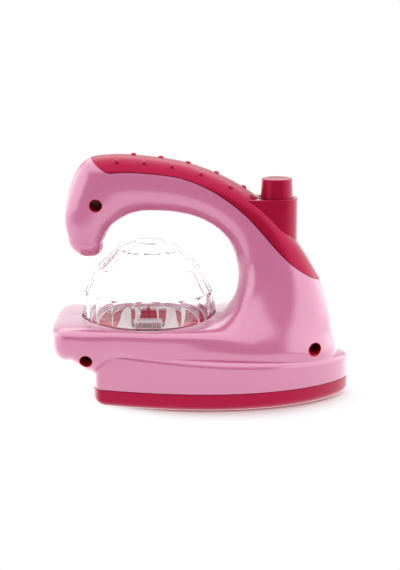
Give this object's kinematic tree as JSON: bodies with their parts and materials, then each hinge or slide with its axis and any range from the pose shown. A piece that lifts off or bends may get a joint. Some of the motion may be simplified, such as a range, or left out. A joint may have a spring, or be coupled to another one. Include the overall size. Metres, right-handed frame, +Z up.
{
  "type": "toy iron",
  "caption": "Toy clothes iron with a hooked handle, a press button on a tower, a faceted clear light dome on its shelf and a flat pointed sole.",
  "frame": {"origin": "on the ground under the middle of the length, in the parting plane of the two shells", "axes": "+X to the nose of the sole, +Z up, -Y the side with the screw recesses"},
  "size_m": [0.1695, 0.0892, 0.1388],
  "materials": {
    "shell_pink": "gloss",
    "crimson": "gloss",
    "clear": "clear",
    "white": "satin",
    "lamp_red": "gloss",
    "steel": "plated",
    "board": "satin",
    "black": "satin",
    "paper": "matt"
  },
  "bodies": {
    "housing": {"left_shell": "shell_pink", "right_shell": "shell_pink", "shell_screws": "steel", "grip_cover": "crimson", "button_spring": "steel", "push_switch": "black", "switch_board": "board", "switch_screws": "steel", "dome": "clear", "dome_tray": "crimson", "tray_screws": "steel", "lamp_plate": "white", "lamp_crystal": "clear", "lamp_led": "lamp_red", "led_board": "board", "lamp_lead": "lamp_red", "sole_plate": "crimson", "sole_screws": "steel", "battery_door": "crimson", "door_screw": "steel", "battery_cells": "black", "battery_springs": "steel", "battery_contacts": "steel", "main_board": "board", "board_screws": "steel", "speaker": "black", "speaker_cone": "paper"},
    "button": {"button": "crimson", "switch_plunger": "lamp_red"}
  },
  "joints": [
    {"name": "button_press", "type": "slide", "parent": "housing", "child": "button", "axis": [0, 0, -1], "range_m": [0, 0.003], "stiffness_N_per_m": 300, "springref_m": -0.003, "deforming": ["button_spring"]}
  ]
}
